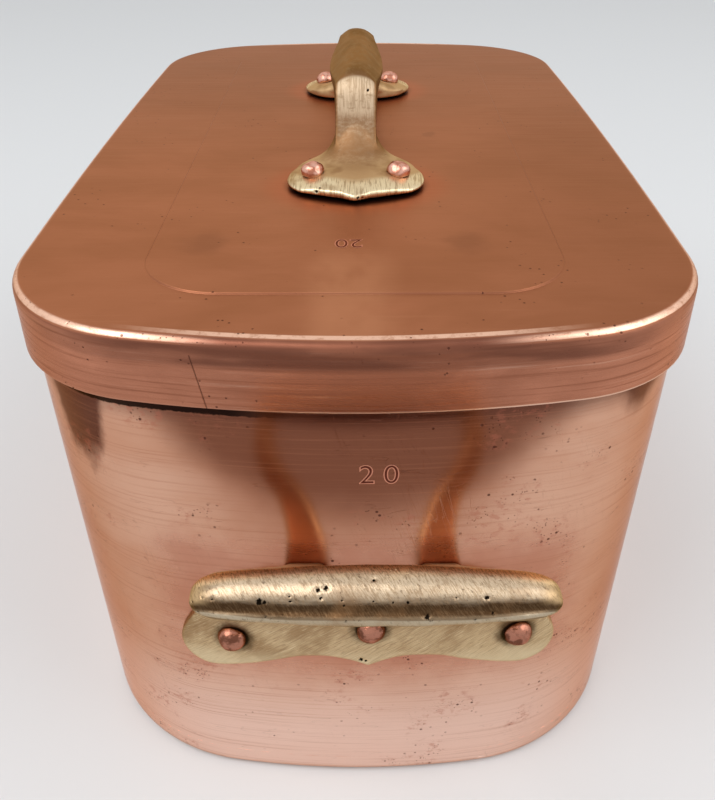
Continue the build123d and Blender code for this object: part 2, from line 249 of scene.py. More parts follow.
def makePanCopper():
    skin = Surface("pan copper", panCopper["bright"])
    cloud = skin.noise((0.02, 0.02, 0.035), 4, 0.55)
    skin.paint(panCopper["warm"], cloud.ramp(0.36, 0.66, 0, 0.55))
    # painted reflection of the pale floor: lighter towards the bottom
    skin.paint(panCopper["low"], skin.z.ramp(66, 18, 0, 0.8))
    # x as someone in front of either end sees it
    across = skin.x * skin.y.sign() * -1
    atEnd = skin.y.size().ramp(128, 150)
    # painted reflection of dark surroundings: a brown shape that hangs below the lid in the middle of each
    # end, in a softer haze
    border = across * across * 0.0095 + panCopper["darkReflectionLow"] + skin.noise((0.05, 0.05, 0.05), 3) * 12 - 6
    hangingReflection = (skin.z - border).ramp(-12, 9)
    fade = (skin.z - border).ramp(-34, 0, 0, 0.8) * across.size().ramp(30, 64, 1, 0)
    skin.paint(panCopper["haze"], fade * atEnd)
    skin.paint(panCopper["darkReflection"], hangingReflection * atEnd * panCopper["darkReflectionShare"])
    # dark wedges at the upper corners
    frayed = skin.noise((0.16, 0.16, 0.1), 4, 0.6) * 0.5 - 0.25
    leftWedge = fromWedge(across, skin.z, panCopper["wedges"]["left"]) + frayed
    rightWedge = fromWedge(across, skin.z, panCopper["wedges"]["right"]) + frayed
    wedges = leftWedge.ramp(0.76, 1.14, 0.94, 0).most(rightWedge.ramp(0.55, 1.15, 0.85, 0))
    skin.paint(panCopper["corner"], wedges * atEnd)
    # reddish, rougher halo that polishing can't reach around the end handle
    beside = ((across - 4).size() - 55).most(0)
    above = ((skin.z - 82).size() - 20).most(0)
    halo = distance(beside, above) + skin.noise((0.12, 0.12, 0.12), 4, 0.65) * 16 - 8
    nearHandle = halo.ramp(-3, panCopper["haloReach"], 1, 0) * atEnd
    skin.paint(panCopper["redRing"], nearHandle * panCopper["haloShare"])
    # black painted contact shade where the arms' castings meet the wall
    shadeFraying = skin.noise((0.5, 0.5, 0.9), 4, 0.7)
    armRoots = (across + 8.5).size().least((across - 21.5).size()).ramp(6, 8, 1, 0)
    armRoots = armRoots * skin.z.band(97, 100.5, 1.2)
    skin.paint(panCopper["dirt"], armRoots * shadeFraying.ramp(0.38, 0.5) * atEnd)
    # painted shade along the top of the wall, under the lid's skirt
    skin.paint(panCopper["corner"], skin.z.ramp(149, 157, 0, 0.5))
    # level brushing
    strokes = skin.noise((0.012, 0.012, 1.3), 5, 0.7)
    fine = skin.noise((0.5, 0.5, 9), 3, 0.6)
    skin.paint(panCopper["haze"], strokes.ramp(0.50, 0.70, 0, 0.42))
    # mottled patches with pits in them
    patch = skin.noise((0.045, 0.045, 0.06), 3, 0.6)
    inPatch = patch.ramp(0.54, 0.64)
    skin.paint(panCopper["redRing"], inPatch * skin.noise((0.3, 0.3, 0.4), 4, 0.7).ramp(0.5, 0.62, 0, 0.4))
    small = skin.specks(0.9, 0.24) * inPatch
    large = skin.specks(0.3, 0.17) * patch.ramp(0.48, 0.58)
    pits = small.most(large) * skin.noise((0.2, 0.2, 0.2), 2).ramp(0.46, 0.54)
    skin.paint(panCopper["pit"], pits * panCopper["pitShare"])
    # scratches: level ones, and slanting ones at the ends
    level = skin.hairlines((0.05, 0.05, 0.35), 0.006) * skin.noise((0.06, 0.06, 0.12), 2).ramp(0.56, 0.62)
    slant = skin.joined(across * 0.96 + skin.z * 0.28, skin.z * 0.96 - across * 0.28, skin.y)
    steep = skin.hairlines((0.45, 0.03, 0.02), 0.005, slant)
    steep = steep * skin.noise((0.03, 0.03, 0.03), 2).ramp(0.52, 0.6) * atEnd * 0.6
    skin.paint(panCopper["pit"], level.most(steep) * panCopper["scratchShare"])
    # painted shadow in the gap below the skirt, and the foot's rubbed edge
    gap = (skin.z + shadeFraying * 1.8).ramp(155.4, 155.9) * across.ramp(-12, -34, 0.12, 1)
    skin.paint(panCopper["dirt"], gap * skin.y.size().ramp(100, 130) * 0.95)
    skin.paint(panCopper["edge"], skin.z.ramp(1.2, 0.3, 0, 0.6))
    skin.carve(strokes, 0.05, panCopper["brushing"])
    skin.carve(fine, 0.03, 0.10)
    skin.carve(skin.noise((0.035, 0.035, 0.03), 2), 0.6, 0.32)
    skin.carve(pits.most(level).most(steep), -0.10, 0.4)
    skin.shader.inputs["Anisotropic"].default_value = 0.3
    rough = strokes.ramp(0.4, 0.7, panCopper["roughness"], panCopper["roughness"] + 0.08) + nearHandle * 0.16
    return skin.finish(rough, panCopper["edgeTint"])


# copper of the lid: duller, and browner as a painted reflection of a warm wall, brushed crosswise, its rim
# rubbed bright and painted as a highlight
lidCopper = {
    # the face colour is browner than the pan's copper, as a painted reflection of a warm wall
    "face": tint(165, 106, 77),
    "dull": tint(144, 90, 62),
    "polished": tint(190, 132, 98),
    "blotchAndShade": tint(122, 76, 56),
    "red": tint(178, 96, 66),
    "edge": tint(232, 190, 166),
    "skirt": tint(197, 132, 105),
    "skirtDark": tint(146, 91, 69),
    "shade": tint(108, 66, 52),
    "seam": tint(60, 30, 24),
    "edgeTint": tint(238, 210, 190),
    "skirtEdgeTint": tint(240, 208, 190),
    "rubbedShare": 0.5,
    "brushing": 0.16,
    "skirtBrushing": 0.2,
    "roughness": 0.34,
    "skirtRoughness": 0.24,
    "blotches": ((-46.0, -111.0, 10.0), (34.0, -112.0, 9.0), (29.6, -4.3, 3.5), (10.0, -60.0, 12.0)),
    "seamAt": -42.1,
    "seamLean": 0.195,
}


# the lid's upright side, on the skirt and on the edge turned down to it: level strokes, with painted shade on
# top
def skirtCoats(skin, where):
    across = skin.x * skin.y.sign() * -1
    skin.paint(lidCopper["skirt"], where)
    cloud = skin.noise((0.02, 0.02, 0.05), 4, 0.6, 0.3)
    middle = across.size().ramp(30, 85, 1, 0) * skin.y.size().ramp(128, 160)
    skin.paint(lidCopper["skirtDark"], (cloud.ramp(0.36, 0.62, 0, 0.35) + middle * 0.45) * where)
    strokes = skin.noise((0.02, 0.02, 1.2), 5, 0.7)
    skin.paint(lidCopper["skirtDark"], strokes.ramp(0.50, 0.68, 0, 0.85) * where)
    skin.paint(lidCopper["edge"], strokes.ramp(0.42, 0.26, 0, 0.24) * where)
    shade = skin.z.band(172.5, 178.6, 2.5) * across.size().ramp(50, 92, 1, 0.25)
    shade = shade * skin.y.size().ramp(120, 160, 0.4, 1)
    skin.paint(lidCopper["shade"], shade * where * skin.noise((0.03, 0.03, 0.2), 3).ramp(0.3, 0.6, 0.4, 0.88))
    return strokes


def makeLidTop():
    skin = Surface("lid top copper", lidCopper["face"])
    cloud = skin.noise((0.016, 0.03, 0.03), 4, 0.6, 0.3)
    skin.paint(lidCopper["dull"], cloud.ramp(0.34, 0.70, 0, 0.62))
    strokes = skin.noise((0.02, 1.1, 1.1), 5, 0.7)
    skin.paint(lidCopper["polished"], strokes.ramp(0.54, 0.74, 0, 0.30))
    skin.paint(lidCopper["dull"], strokes.ramp(0.46, 0.28, 0, 0.35))
    onFace = skin.z.ramp(178.6, 178.72)
    # rubbed patch in front of the handle
    rubbed = skin.x.band(-5, 3, 13) * skin.y.band(-166, -130, 24)
    rubbed = rubbed * skin.noise((0.1, 0.05, 0.1), 2).ramp(0.3, 0.6, 0.4, 1)
    skin.paint(lidCopper["polished"], rubbed * onFace * lidCopper["rubbedShare"])
    # painted shade: browner towards the rear and the right; and a few stains
    skin.paint(lidCopper["blotchAndShade"], skin.y.ramp(-70, 130, 0, 0.5).most(skin.x.ramp(10, 90, 0, 0.4)) * onFace)
    for x, y, reach in lidCopper["blotches"]:
        spot = distance(skin.x - x, (skin.y - y) * 0.8) + skin.noise((0.15, 0.15, 0.15), 3) * 8 - 4
        skin.paint(lidCopper["blotchAndShade"], spot.ramp(reach * 0.2, reach, 0.38, 0) * onFace)
    # a redder ring round the feet of the handle, and painted shade just inside their outline
    foot = distance(skin.x / 27, ((skin.y - places["lidHandleShift"]).size() - places["footCentre"]) / 22)
    skin.paint(lidCopper["red"], foot.ramp(0.95, 1.35, 0.42, 0) * onFace)
    skin.paint(lidCopper["seam"], foot.ramp(0.80, 0.98, 1, 0) * onFace * 0.8)
    # the raised panel's border, darker in front
    border = skin.z.band(178.88, 179.10, 0.03)
    skin.paint(lidCopper["blotchAndShade"], border * skin.y.ramp(-125, -150, 0.15, 0.75))
    # the shoulder of the rim: a thin line, rubbed bright and painted as a highlight, above a dark one
    fromEdge = distance(skin.x, skin.y.size() + places["endArcBehind"]) * -1 + places["lidArc"]
    middle = skin.x.size().ramp(30, 66, 1, 0) * skin.y.size().ramp(150, 160)
    atMiddle = fromEdge.band(2.9, 4.4, 0.5) * middle
    atCorner = skin.z.band(177.6, 178.4, 0.3) * (middle * -1 + 1)
    wearAndHighlight = skin.noise((0.3, 0.3, 0.9), 5, 0.75).ramp(0.32, 0.52, 0.45, 1)
    rim = atMiddle.most(atCorner) * wearAndHighlight
    below = (fromEdge.ramp(2.6, 1.9) * middle).most(skin.z.ramp(177.4, 176.8))
    skirtCoats(skin, below)
    skin.paint(lidCopper["edge"], rim)
    pits = skin.specks(0.35, 0.16) * skin.noise((0.05, 0.05, 0.05), 2).ramp(0.54, 0.62)
    nicks = skin.specks(0.8, 0.2) * skin.z.band(176.5, 178.5, 0.2)
    nicks = nicks * skin.noise((0.1, 0.1, 0.1), 2).ramp(0.5, 0.6)
    marks = pits.most(nicks)
    skin.paint(panCopper["pit"], marks * 0.8)
    skin.carve(strokes, 0.05, lidCopper["brushing"])
    skin.carve(skin.noise((0.03, 0.03, 0.03), 2), 0.6, 0.25)
    skin.carve(marks, -0.12, 0.6)
    rough = strokes.ramp(0.35, 0.7, lidCopper["roughness"], lidCopper["roughness"] + 0.08) - rim * 0.08
    return skin.finish(rough, lidCopper["edgeTint"])


def makeSkirt():
    skin = Surface("lid skirt copper", lidCopper["skirt"])
    strokes = skirtCoats(skin, skin.z.ramp(0, 1))
    # brazed slanting seam near each end's left side
    across = skin.x * skin.y.sign() * -1
    lean = (skin.z * -1 + 177.5) * lidCopper["seamLean"]
    seam = (across - lidCopper["seamAt"] - lean).size().ramp(0.06, 0.26, 1, 0)
    seam = seam * skin.y.size().ramp(120, 140)
    skin.paint(lidCopper["seam"], seam * 0.6)
    # its lower edge is rubbed bright, but for the left part of each end
    onEdge = across.ramp(-34, -8, 0.1, 1).most(skin.y.size().ramp(150, 130))
    lowEdge = skin.z.band(158.3, 158.75, 0.12) * onEdge
    skin.paint(lidCopper["edge"], lowEdge * 0.75)
    pits = skin.specks(0.4, 0.15) * skin.noise((0.06, 0.06, 0.06), 2).ramp(0.52, 0.6)
    skin.paint(panCopper["pit"], pits * 0.85)
    skin.carve(strokes, 0.06, lidCopper["skirtBrushing"])
    skin.carve(skin.noise((0.4, 0.4, 9), 3, 0.6), 0.03, 0.12)
    skin.carve(skin.noise((0.05, 0.05, 0.03), 2), 0.5, 0.25)
    skin.carve(seam.most(pits), -0.15, 0.8)
    rough = strokes.ramp(0.35, 0.7, lidCopper["skirtRoughness"], lidCopper["skirtRoughness"] + 0.10)
    return skin.finish(rough, lidCopper["skirtEdgeTint"])


# brass castings: filed bright where a file reached, bronze-brown and dark elsewhere, with painted
# reflections, highlights and shade in places
castBrass = {
    "filed": tint(208, 186, 158),
    "stroke": tint(146, 118, 88),
    "top": tint(246, 208, 156),
    "dark": tint(70, 50, 32),
    "bevel": tint(140, 120, 96),
    "bevelEdge": tint(190, 174, 150),
    "plate": tint(202, 176, 138),
    "plateDark": tint(146, 112, 76),
    "rim": tint(226, 208, 172),
    "arm": tint(228, 208, 170),
    "olive": tint(140, 102, 68),
    "foot": tint(190, 158, 118),
    "pit": tint(20, 14, 9),
    "edgeTint": tint(230, 208, 176),
    "lidEdgeTint": tint(226, 200, 166),
    "gripFrom": 47.5,
    "fileDepth": 0.16,
    "grainDepth": 0.14,
    "pitRelief": -0.2,
    "roughness": 0.30,
    "lidRoughness": 0.54,
}


def makeEndBrass():
    skin = Surface("end handle brass", castBrass["plate"])
    side = skin.y.sign()
    across = skin.x * side * -1
    reach = skin.y.size() - places["endOfWall"]
    rise = skin.z - places["loopRoot"]
    cosine = math.cos(places["loopLift"])
    sine = math.sin(places["loopLift"])
    outward = reach * cosine + rise * sine
    upward = rise * cosine - reach * sine
    onGrip = outward.ramp(castBrass["gripFrom"], castBrass["gripFrom"] + 1.5)
    onPlate = outward.ramp(9, 5) * reach.ramp(5.5, 7.5, 1, 0)
    # plate: filed in sweeps, with painted shade where the grip overhangs, and darker around the rivets
    swept = skin.joined(across * 0.80 + skin.z * 0.60, skin.z * 0.80 - across * 0.60, skin.y)
    plateStrokes = skin.noise((0.2, 3.2, 0.1), 4, 0.65, 0.9, swept)
    skin.paint(castBrass["plateDark"], skin.noise((0.06, 0.06, 0.06), 3).ramp(0.44, 0.64, 0, 0.7))
    # painted shade under the overhanging grip: darker towards the top
    skin.paint(castBrass["plateDark"], skin.z.ramp(72, 84, 0, 0.45))
    skin.paint(castBrass["stroke"], plateStrokes.ramp(0.48, 0.62, 0, 0.62))
    skin.paint(castBrass["rim"], plateStrokes.ramp(0.44, 0.34, 0, 0.5))
    skin.paint(castBrass["rim"], (skin.z + skin.noise((0.1, 0.1, 0.1), 3) * 6 - 3).ramp(70, 60, 0, 0.7))
    ring = None
    for x, z in places["handleRivets"]:
        away = distance(across - x, skin.z - z)
        ring = away if ring is None else ring.least(away)
    nearRivets = ring + skin.noise((0.4, 0.4, 0.4), 3, 0.6) * 3 - 1.5
    skin.paint(castBrass["dark"], nearRivets.ramp(4.4, 8.0, 0.85, 0) * onPlate)
    skin.paint(castBrass["pit"], ring.ramp(4.3, 5.2, 0.9, 0) * onPlate)
    # arms: left as cast
    onArm = (onGrip * -1 + 1) * outward.ramp(7, 11)
    skin.paint(castBrass["arm"], onArm * 0.9)
    # grip: painted reflections in bands, brown on top, a painted highlight along the filed outer shoulder, a
    # dark flank, a grey bevel
    along = (across - places["gripShift"]).size()
    height = upward / along.ramp(18, 44, 1.0, 0.62)
    wander = skin.noise((0.07, 0.35, 0.35), 4, 0.65) * 3.6 - 1.8
    level = height + wander
    skin.paint(castBrass["dark"], onGrip)
    skin.paint(castBrass["top"], onGrip * level.ramp(3.6, 5.6))
    bright = level.band(1.4, 4.8, 2.8) * along.ramp(34, 43.5, 0.94, 0.06)
    skin.paint(castBrass["filed"], onGrip * bright)
    skin.paint(castBrass["top"], onGrip * along.ramp(37, 44, 0, 0.7) * level.ramp(-3, 0))
    skin.paint(castBrass["bevel"], onGrip * (height + wander * 0.3).ramp(-3.4, -4.6))
    skin.paint(castBrass["bevelEdge"], onGrip * (height + wander * 0.2).band(-5.8, -4.8, 0.4) * 0.9)
    skin.paint(castBrass["olive"], onGrip * skin.noise((0.09, 0.09, 0.09), 4).ramp(0.5, 0.7, 0, 0.4))
    # file marks on the grip: close parallel strokes, slanting
    crossed = skin.joined(across * 0.82 + upward * 0.57, upward * 0.82 - across * 0.57, outward)
    fileMarks = skin.noise((3.4, 0.5, 0.5), 3, 0.65, 0.5, crossed)
    coarse = skin.noise((1.2, 0.7, 0.6), 4, 0.7, 0.8, crossed)
    filedHere = onGrip * level.ramp(-2.0, 1.2, 0.30, 1)
    skin.paint(castBrass["stroke"], filedHere * fileMarks.ramp(0.46, 0.60, 0, 0.60))
    skin.paint(castBrass["dark"], onGrip * coarse.ramp(0.55, 0.70, 0, 0.6))
    # casting pits, sunk into the mesh as well
    pit = skin.attribute("pit")
    tiny = skin.specks(0.75, 0.16) * skin.noise((0.12, 0.12, 0.12), 2).ramp(0.52, 0.6)
    ragged = pit + skin.noise((1.3, 1.3, 1.3), 3, 0.7) * 1.1 - 0.55
    skin.paint(castBrass["pit"], ragged.ramp(0.42, 0.62) * pit.ramp(0.05, 0.2).most(tiny * 0.85))
    skin.carve(fileMarks * onGrip + plateStrokes * onPlate, castBrass["fileDepth"], 0.5)
    skin.carve(coarse, castBrass["grainDepth"], 0.35)
    skin.carve(tiny, castBrass["pitRelief"], 0.8)
    rough = onGrip.ramp(0, 1, castBrass["roughness"] + 0.1, castBrass["roughness"])
    return skin.finish(rough, castBrass["edgeTint"])


def makeLidBrass():
    skin = Surface("lid handle brass", castBrass["olive"])
    reach = (skin.y - places["lidHandleShift"]).size()
    rise = skin.z - places["lidFace"]
    outwards = skin.facingY * (skin.y - places["lidHandleShift"]).sign()
    skin.paint(castBrass["dark"], skin.noise((0.06, 0.04, 0.06), 3).ramp(0.46, 0.66, 0, 0.35))
    skin.paint(castBrass["stroke"], skin.noise((0.5, 0.35, 0.5), 4, 0.7).ramp(0.46, 0.64, 0, 0.45))
    # painted shade on the faces turned sideways
    skin.paint(castBrass["dark"], skin.facingX.size().ramp(0.55, 0.95, 0, 0.4))
    # foot: brown on top, filed bright along its outer edge
    onFoot = rise.ramp(8.5, 5.5)
    skin.paint(castBrass["foot"], onFoot)
    fromEdge = (reach + skin.x.size() * 0.36 + skin.x.size().ramp(16, 25, 0, 7)) * -1 + places["footTip"]
    hatch = skin.noise((2.4, 0.16, 0.3), 3, 0.6, 0.2)
    edgeBand = fromEdge.ramp(11.0, 7.5) * onFoot
    skin.paint(castBrass["rim"], edgeBand)
    skin.paint(castBrass["stroke"], edgeBand * hatch.ramp(0.50, 0.60, 0, 0.6))
    skin.paint(castBrass["olive"], onFoot * skin.noise((0.1, 0.1, 0.1), 4).ramp(0.48, 0.66, 0, 0.5))
    # leg: its outer face is filed bright lengthwise, duller where it bends into the foot, with painted shade
    # there
    legTop = rise + skin.x * skin.x * 0.045
    onLeg = outwards.ramp(0.30, 0.5) * skin.x.size().ramp(5.9, 7.0, 1, 0)
    fading = (rise + skin.noise((0.3, 0.3, 0.3), 3) * 6 - 3).ramp(9.0, 22.0, 0.12, 1)
    onLeg = onLeg * legTop.ramp(31.6, 30.6) * fading
    lengthwise = skin.noise((2.6, 0.16, 0.16), 3, 0.6, 0.15)
    skin.paint(castBrass["filed"], onLeg * 0.88)
    bend = rise.band(8, 17, 4) * outwards.ramp(0, 0.3)
    bend = bend * skin.noise((0.5, 0.9, 0.9), 4, 0.7).ramp(0.34, 0.6, 0.35, 1)
    skin.paint(castBrass["olive"], bend * 0.75)
    skin.paint(castBrass["stroke"], onLeg * lengthwise.ramp(0.49, 0.60, 0, 0.55))
    skin.paint(castBrass["stroke"], onLeg * skin.noise((0.3, 0.6, 0.6), 4, 0.7).ramp(0.54, 0.68, 0, 0.5))
    # black shadow line below the feet
    skin.paint(castBrass["pit"], rise.ramp(1.05, 0.85))
    pit = skin.attribute("pit")
    tiny = skin.specks(0.7, 0.15) * skin.noise((0.1, 0.1, 0.1), 2).ramp(0.54, 0.62)
    ragged = pit + skin.noise((1.3, 1.3, 1.3), 3, 0.7) * 1.1 - 0.55
    skin.paint(castBrass["pit"], ragged.ramp(0.42, 0.62) * pit.ramp(0.05, 0.2).most(tiny * 0.8))
    skin.carve(lengthwise * onLeg + hatch * edgeBand, castBrass["fileDepth"], 0.5)
    skin.carve(skin.noise((0.5, 0.5, 0.5), 4, 0.65), castBrass["grainDepth"], 0.25)
    skin.carve(tiny, castBrass["pitRelief"], 0.8)
    rough = edgeBand.ramp(0, 1, castBrass["lidRoughness"], castBrass["roughness"])
    return skin.finish(rough, castBrass["lidEdgeTint"])


# copper rivets: darker heads on the end handles, lighter ones on the lid
rivetCopper = {
    "end": {"light": tint(172, 116, 96), "dark": tint(112, 70, 54), "roughness": 0.26},
    "lid": {"light": tint(214, 164, 146), "dark": tint(176, 114, 92), "roughness": 0.30},
    "rim": tint(46, 26, 20),
    "edgeTint": tint(240, 205, 190),
}


def makeRivetCopper(kind):
    setting = rivetCopper[kind]
    skin = Surface(kind + " rivet copper", setting["light"])
    skin.paint(setting["dark"], skin.noise((0.3, 0.3, 0.3), 3, 0.6).ramp(0.42, 0.62))
    hollow = Field(skin, skin.node("ShaderNodeNewGeometry").outputs["Pointiness"])
    skin.paint(rivetCopper["rim"], hollow.ramp(0.49, 0.42, 0, 0.9))
    skin.carve(skin.noise((0.9, 0.9, 0.9), 3, 0.6), 0.2, 0.25)
    return skin.finish(setting["roughness"], rivetCopper["edgeTint"])


# tin linings, wiped on hot with a cloth
tin = {
    "bright": tint(206, 202, 196),
    "wiped": tint(168, 163, 156),
    "stain": tint(122, 112, 102),
    "edgeTint": tint(255, 255, 255),
    "roughness": (0.30, 0.52),
}


def makeTin():
    skin = Surface("wiped tin", tin["bright"])
    wiped = skin.noise((0.05, 0.05, 0.4), 4, 0.6, 0.6)
    skin.paint(tin["wiped"], wiped.ramp(0.3, 0.7))
    skin.paint(tin["stain"], skin.noise((0.02, 0.02, 0.02), 4, 0.6).ramp(0.55, 0.75, 0, 0.6))
    skin.carve(wiped, 0.2, 0.25)
    return skin.finish(wiped.ramp(0.3, 0.7, *tin["roughness"]), tin["edgeTint"])


panCopperLook = makePanCopper()
endBrassLook = makeEndBrass()
lidBrassLook = makeLidBrass()
endRivetLook = makeRivetCopper("end")
lidRivetLook = makeRivetCopper("lid")
tinLook = makeTin()
finishes = {
    "pan_wall": panCopperLook,
    "pan_base": panCopperLook,
    "lid_top": makeLidTop(),
    "lid_skirt": makeSkirt(),
    "pan_tin_lining": tinLook,
    "lid_tin_lining": tinLook,
}
for node, look in finishes.items():
    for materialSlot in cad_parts[node].material_slots:
        materialSlot.material = look
print("materials made, sheet pieces dressed")


# castings: the solid's shape melted together at its corners, as sand casting and files leave it;
# smoothing and flows are counts of rounds, and the lid's heights are in millimetres above its face
casting = {
    "grain": 0.45 * mm,
    "smoothing": 6,
    "unevenness": 0.14 * mm,
    "swell": 7 * mm,
    "gripFrom": 47 * mm,
    "bellyShare": 0.80,
    "flankHollow": 0.7 * mm,
    "flankDown": 3.0 * mm,
    "flankWidth": 2.0 * mm,
    "flankFrom": 57 * mm,
    "crown": 0.045 * mm,
    "crownFrom": 26,
    "lidGripFrom": 28,
    "footFlow": 120,
    "gripFlow": 90,
    "creaseHalfWidth": 15,
    "creaseReach": (50, 64),
    "creaseRise": (3.5, 14),
    "pitDepth": 0.5 * mm,
    "pitRadii": (0.25, 0.55),
    "gripPits": 22,
    "gripPitsBeyond": (214, 130),
    "lidPits": 12,
    "lidPitsAbove": 182,
}
# pits that the photograph shows on the front handle and on the lid handle: place, radius
gripPits = (
    ((-21.6, -217.2, 136.7), 1.3), ((-20.4, -217.3, 136.6), 0.9), ((-8.0, -215.8, 139.2), 0.9),
    ((-6.2, -215.5, 139.5), 1.0), ((-7.4, -217.2, 137.9), 0.7), ((-14.4, -217.4, 137.0), 0.6),
    ((4.9, -213.6, 140.2), 0.7), ((12.6, -218.1, 137.3), 0.7), ((30.8, -216.6, 137.4), 0.9),
    ((16.9, -219.7, 134.4), 1.2), ((18.0, -219.9, 133.6), 0.9), ((1.7, -174.0, 65.0), 1.2),
    ((3.2, -174.0, 64.4), 0.8),
)
footPits = (((-13.3, -74.4, 181.6), 1.1), ((-12.0, -73.2, 182.4), 0.8), ((0.8, -79.2, 181.2), 1.2),
            ((2.2, -78.6, 181.0), 1.0), ((4.3, -41.1, 206.3), 0.8))


def readPoints(mesh, field):
    flat = np.empty(3 * len(mesh.vertices), dtype=np.float32)
    if field == "co":
        mesh.vertices.foreach_get("co", flat)
    else:
        mesh.vertex_normals.foreach_get("vector", flat)
    return flat.reshape(-1, 3).astype(float)


def writePoints(mesh, points):
    mesh.vertices.foreach_set("co", points.astype(np.float32).ravel())
    mesh.update()


# the piece's mesh becomes what its modifiers make of it
def applyModifiers(piece):
    depsgraph = bpy.context.evaluated_depsgraph_get()
    finished = bpy.data.meshes.new_from_object(piece.evaluated_get(depsgraph))
    piece.modifiers.clear()
    piece.vertex_groups.clear()
    piece.data = finished


def meltedCopy(node, name, grain, rounds):
    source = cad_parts[node]
    piece = bpy.data.objects.new(name, source.data.copy())
    bpy.context.scene.collection.objects.link(piece)
    piece.data.materials.clear()
    melt = piece.modifiers.new("melt", "REMESH")
    melt.mode = "VOXEL"
    melt.voxel_size = grain
    melt.use_smooth_shade = True
    soften = piece.modifiers.new("soften", "SMOOTH")
    soften.factor = 0.5
    soften.iterations = rounds
    applyModifiers(piece)
    return piece


# slow swells of the surface, along each point's normal; amount and size in metres
def roughen(piece, amount, size, seed):
    offset = Vector((seed * 7.1, seed * 3.3, seed * 5.7))
    points = readPoints(piece.data, "co")
    normals = readPoints(piece.data, "normal")
    swell = np.array([noise.noise(Vector(point) / size + offset) for point in points])
    writePoints(piece.data, points + normals * (swell * amount)[:, None])


# dents with a black bottom: pits are (place in millimetres, radius in millimetres)
def sinkPits(piece, pits):
    points = readPoints(piece.data, "co")
    normals = readPoints(piece.data, "normal")
    depth = np.zeros(len(points))
    for spot, radius in pits:
        away = np.linalg.norm(points - np.array(spot) * mm, axis=1) / (radius * mm)
        depth = np.maximum(depth, np.clip(1.1 - away, 0, 1))
    writePoints(piece.data, points - normals * (depth * casting["pitDepth"])[:, None])
    mark = piece.data.attributes.new("pit", "FLOAT", "POINT")
    mark.data.foreach_set("value", depth.astype(np.float32))


def randomPits(piece, count, allowed, seed):
    dice = random.Random(seed)
    points = readPoints(piece.data, "co") / mm
    chosen = [tuple(points[index]) for index in np.flatnonzero(allowed(points))]
    return tuple((dice.choice(chosen), dice.uniform(*casting["pitRadii"])) for _ in range(count))


# the grip's belly is shallower than the solid's, with a hollow flank above its bevel
def shapeGrip(piece, side):
    points = readPoints(piece.data, "co")
    cosine = math.cos(places["loopLift"])
    sine = math.sin(places["loopLift"])
    out = np.array((0, side * cosine, sine))
    up = np.array((0, -side * sine, cosine))
    root = np.array((0, side * places["endOfWall"], places["loopRoot"])) * mm
    outward = (points - root) @ out
    upward = (points - root) @ up
    onGrip = np.clip((outward - casting["gripFrom"]) / (4 * mm), 0, 1)
    onFlank = np.clip((outward - casting["flankFrom"]) / (3 * mm), 0, 1)
    lift = np.where(upward < 0, -upward * (1 - casting["bellyShare"]), 0)
    hollow = np.exp(-((upward + casting["flankDown"]) / casting["flankWidth"]) ** 2) * casting["flankHollow"]
    writePoints(piece.data, points + np.outer(lift * onGrip, up) - np.outer(hollow * onFlank, out))


# extra smoothing where a region's crease should flow
def flow(piece, region, rounds):
    points = readPoints(piece.data, "co") / mm
    group = piece.vertex_groups.new(name="flow")
    group.add(np.flatnonzero(region(points)).tolist(), 1.0, "REPLACE")
    soften = piece.modifiers.new("flow", "SMOOTH")
    soften.factor = 0.5
    soften.iterations = rounds
    soften.vertex_group = "flow"
    applyModifiers(piece)


def legMeetsFoot(points):
    reach = np.abs(points[:, 1] - places["lidHandleShift"])
    rise = points[:, 2] - places["lidFace"]
    nearMiddle = np.abs(points[:, 0]) < casting["creaseHalfWidth"]
    inReach = (reach > casting["creaseReach"][0]) & (reach < casting["creaseReach"][1])
    return nearMiddle & inReach & (rise > casting["creaseRise"][0]) & (rise < casting["creaseRise"][1])


def lidGrip(points):
    return points[:, 2] - places["lidFace"] > casting["lidGripFrom"]


# the lid's grip is crowned across its top
def crownGrip(piece):
    points = readPoints(piece.data, "co")
    upper = np.clip((points[:, 2] / mm - places["lidFace"] - casting["crownFrom"]) / 6, 0, 1)
    points[:, 2] -= casting["crown"] * (points[:, 0] / mm) ** 2 * upper
    writePoints(piece.data, points)


def standFor(piece, node, body, look):
    piece.data.materials.append(look)
    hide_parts(node)
    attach(piece, body)


def outerGrip(points):
    reach, height = casting["gripPitsBeyond"]
    return (np.abs(points[:, 1]) > reach) & (points[:, 2] > height)


def aboveLid(points):
    return points[:, 2] > casting["lidPitsAbove"]


# side is -1 for the front and 1 for the rear
def endCasting(node, name, side, pits, seed):
    piece = meltedCopy(node, name, casting["grain"], casting["smoothing"])
    shapeGrip(piece, side)
    roughen(piece, casting["unevenness"], casting["swell"], seed)
    sinkPits(piece, pits + randomPits(piece, casting["gripPits"], outerGrip, seed))
    standFor(piece, node, "pan", endBrassLook)


endCasting("front_handle", "frontHandleCasting", -1, gripPits, 1)
endCasting("rear_handle", "rearHandleCasting", 1, (), 2)
lidCasting = meltedCopy("lid_handle", "lidHandleCasting", casting["grain"], casting["smoothing"])
flow(lidCasting, legMeetsFoot, casting["footFlow"])
crownGrip(lidCasting)
flow(lidCasting, lidGrip, casting["gripFlow"])
roughen(lidCasting, casting["unevenness"], casting["swell"], 3)
sinkPits(lidCasting, footPits + randomPits(lidCasting, casting["lidPits"], aboveLid, 3))
standFor(lidCasting, "lid_handle", "lid", lidBrassLook)
print("castings made")


# rivets: each head is hammered by hand, so no two are alike
rivets = {
    "grain": 0.22 * mm,
    "smoothing": 3,
    "blows": 0.35 * mm,
    "blowSize": 3.0 * mm,
}


